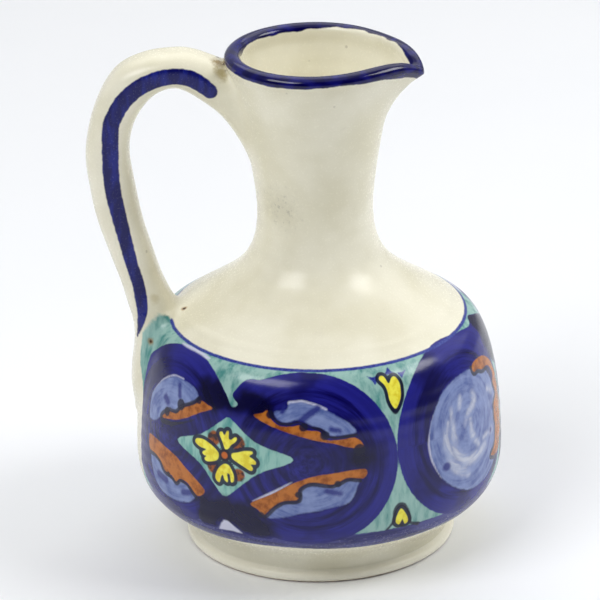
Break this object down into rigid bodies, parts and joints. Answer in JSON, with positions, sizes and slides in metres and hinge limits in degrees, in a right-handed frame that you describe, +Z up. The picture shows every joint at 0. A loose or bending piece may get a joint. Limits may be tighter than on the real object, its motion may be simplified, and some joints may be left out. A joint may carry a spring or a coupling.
{
  "type": "ceramic pitcher",
  "caption": "Small glazed ceramic pitcher with a wide painted belly, slim flared neck, pulled pouring lip and strap handle, for holding and pouring liquid.",
  "frame": {"origin": "centre of the foot's resting face, on the axis of the round body", "axes": "+Z up along the body's axis, handle towards -X, spout towards +X and slightly to -Y"},
  "size_m": [0.1193, 0.1072, 0.1505],
  "materials": {
    "cream_glaze": "glossy off-white tin glaze over fired clay",
    "painted_glaze": "glossy glaze hand-painted in cobalt, teal, yellow and orange over fired clay",
    "blue_glaze": "glossy cobalt blue glaze over fired clay"
  },
  "bodies": {
    "root": {"foot_ring": "cream_glaze", "base_floor": "cream_glaze", "belly_wall": "painted_glaze", "shoulder": "cream_glaze", "neck": "cream_glaze", "mouth_collar": "cream_glaze", "rim_roll": "blue_glaze", "pouring_spout": "cream_glaze", "handle_root": "cream_glaze", "handle_strap": "cream_glaze", "handle_tail": "cream_glaze"}
  },
  "joints": []
}
